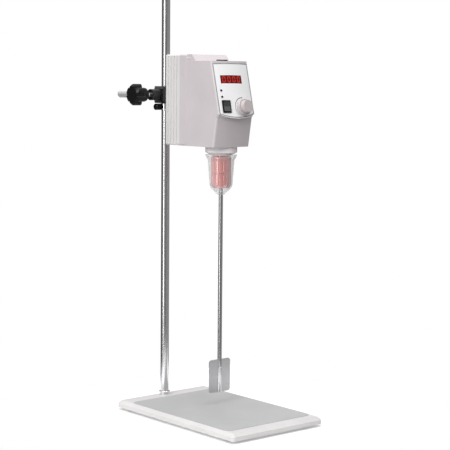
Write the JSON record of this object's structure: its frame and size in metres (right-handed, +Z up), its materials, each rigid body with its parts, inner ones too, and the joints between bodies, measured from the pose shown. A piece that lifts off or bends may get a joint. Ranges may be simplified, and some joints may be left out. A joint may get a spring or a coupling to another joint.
{
  "type": "overhead laboratory stirrer",
  "caption": "Bench stirrer: a motor head clamped to a rod on a flat plate stand turns a guarded chuck that holds a shaft with a flat paddle.",
  "frame": {"origin": "on the bench at the middle of the overall footprint, level with the bottom of the feet", "axes": "+Z up along the rod, -Y towards the user and the control panel, +X to the right seen from the panel side"},
  "size_m": [0.214, 0.507, 0.818],
  "materials": {
    "warm_white_coat": "satin powder coat",
    "grey_film": "matt",
    "black_rubber": "matt",
    "zinc_steel": "bright zinc",
    "stainless": "fine ground",
    "chrome": "polished",
    "black_coat": "semi gloss",
    "black_plastic": "satin",
    "cast_aluminium_coat": "satin",
    "shell_coat": "satin",
    "panel_white": "satin film",
    "red_filter": "clear dark red",
    "dark_plastic": "matt",
    "board_green": "satin",
    "knob_plastic": "satin",
    "bare_aluminium": "machined",
    "copper_winding": "lacquer",
    "bearing_steel": "polished",
    "belt_rubber": "matt",
    "clear_guard": "clear moulded plastic",
    "rose_sleeve": "satin"
  },
  "bodies": {
    "stand": {"base_plate": "warm_white_coat", "base_film": "grey_film", "rubber_feet": "black_rubber", "foot_screws": "zinc_steel", "stand_rod": "stainless", "rod_collar": "chrome", "rod_washer": "zinc_steel", "rod_bolt": "zinc_steel"},
    "stop_ring": {"stop_ring": "chrome"},
    "stop_screw": {"stop_ring_screw": "black_plastic"},
    "clamp": {"clamp_body": "black_coat"},
    "rod_knob": {"rod_clamp_knob": "black_plastic", "rod_clamp_screw": "chrome"},
    "arm_knob": {"arm_clamp_knob": "black_plastic", "arm_clamp_screw": "chrome"},
    "head": {"extension_arm": "stainless", "rear_casting": "cast_aluminium_coat", "arm_set_screw": "zinc_steel", "power_inlet": "black_plastic", "middle_housing": "shell_coat", "front_housing": "shell_coat", "housing_screws": "zinc_steel", "front_panel": "panel_white", "display_window": "red_filter", "display_module": "dark_plastic", "control_board": "board_green", "board_standoffs": "zinc_steel", "indicator_leds": "dark_plastic", "switch_frame": "black_plastic", "speed_control": "zinc_steel", "bearing_frame": "bare_aluminium", "bearing_outer_rings": "bearing_steel", "drive_belt": "belt_rubber", "motor_case": "zinc_steel", "motor_stator": "copper_winding", "nose_collar": "shell_coat"},
    "plug": {"hole_plug": "black_plastic"},
    "rocker": {"switch_rocker": "black_plastic"},
    "speed_knob": {"speed_knob": "knob_plastic", "speed_shaft": "zinc_steel"},
    "rotor": {"motor_rotor": "zinc_steel", "drive_pulley": "bare_aluminium"},
    "spindle": {"spindle": "stainless", "bearing_inner_rings": "bearing_steel", "driven_pulley": "bare_aluminium", "chuck_body": "bearing_steel", "rear_sleeve": "rose_sleeve"},
    "sleeve": {"front_sleeve": "rose_sleeve", "jaw_nut": "zinc_steel"},
    "jaw_1": {"chuck_jaw_1": "bearing_steel"},
    "jaw_2": {"chuck_jaw_2": "bearing_steel"},
    "jaw_3": {"chuck_jaw_3": "bearing_steel"},
    "stirrer": {"stirring_shaft": "stainless", "paddle_blade": "stainless", "blade_rivets": "stainless"},
    "guard": {"chuck_guard": "clear_guard"}
  },
  "joints": [
    {"name": "stop_ring_height", "type": "slide", "parent": "stand", "child": "stop_ring", "axis": [0, 0, 1], "range_m": [-0.52, 0]},
    {"name": "stop_screw_turn", "type": "hinge", "parent": "stop_ring", "child": "stop_screw", "pos_m": [-0.006, 0.06955, 0.57345], "axis": [-1, 0, 0], "range_deg": [0, 720]},
    {"name": "clamp_height", "type": "slide", "parent": "stand", "child": "clamp", "axis": [0, 0, 1], "range_m": [0, 0.2]},
    {"name": "rod_knob_turn", "type": "hinge", "parent": "clamp", "child": "rod_knob", "pos_m": [-0.006, 0.06955, 0.5962], "axis": [-1, 0, 0], "range_deg": [0, 1080]},
    {"name": "arm_knob_turn", "type": "hinge", "parent": "clamp", "child": "arm_knob", "pos_m": [0.0214, 0.06955, 0.5962], "axis": [1, 0, 0], "range_deg": [0, 1080]},
    {"name": "arm_reach", "type": "slide", "parent": "clamp", "child": "head", "axis": [0, -1, 0], "range_m": [0, 0.14]},
    {"name": "plug_lift", "type": "slide", "parent": "head", "child": "plug", "axis": [0, 0, 1], "range_m": [0, 0.03]},
    {"name": "power_rocker", "type": "hinge", "parent": "head", "child": "rocker", "pos_m": [-0.003, -0.10597, 0.57696], "axis": [0.9924, -0.1229, 0], "range_deg": [-16, 0]},
    {"name": "speed_turn", "type": "hinge", "parent": "head", "child": "speed_knob", "pos_m": [0.0347, -0.1075, 0.57502], "axis": [-0.0651, 0.9692, -0.2376], "range_deg": [-150, 150]},
    {"name": "chuck_spin", "type": "hinge", "parent": "head", "child": "spindle", "pos_m": [0.0214, -0.06285, 0.4845], "axis": [0, 0, 1], "continuous": true},
    {"name": "motor_spin", "type": "hinge", "parent": "head", "child": "rotor", "pos_m": [0.0214, -0.00405, 0.5657], "axis": [0, 0, 1], "continuous": true},
    {"name": "sleeve_turn", "type": "hinge", "parent": "spindle", "child": "sleeve", "pos_m": [0.0214, -0.06285, 0.4845], "axis": [0, 0, 1], "range_deg": [0, 720]},
    {"name": "jaw_1_slide", "type": "slide", "parent": "spindle", "child": "jaw_1", "axis": [0, 0.2588, 0.9659], "range_m": [0, 0.004]},
    {"name": "jaw_2_slide", "type": "slide", "parent": "spindle", "child": "jaw_2", "axis": [-0.2241, -0.1294, 0.9659], "range_m": [0, 0.004]},
    {"name": "jaw_3_slide", "type": "slide", "parent": "spindle", "child": "jaw_3", "axis": [0.2241, -0.1294, 0.9659], "range_m": [0, 0.004]},
    {"name": "shaft_height", "type": "slide", "parent": "spindle", "child": "stirrer", "axis": [0, 0, 1], "range_m": [-0.02, 0.18]},
    {"name": "guard_slide", "type": "slide", "parent": "head", "child": "guard", "axis": [0, 0, -1], "range_m": [0, 0.065]}
  ],
  "couplings": [
    {"joint": "motor_spin", "follows": "chuck_spin", "ratio": 3},
    {"joint": "jaw_1_slide", "follows": "sleeve_turn", "m_per_rad": 0.00031831},
    {"joint": "jaw_2_slide", "follows": "sleeve_turn", "m_per_rad": 0.00031831},
    {"joint": "jaw_3_slide", "follows": "sleeve_turn", "m_per_rad": 0.00031831}
  ]
}
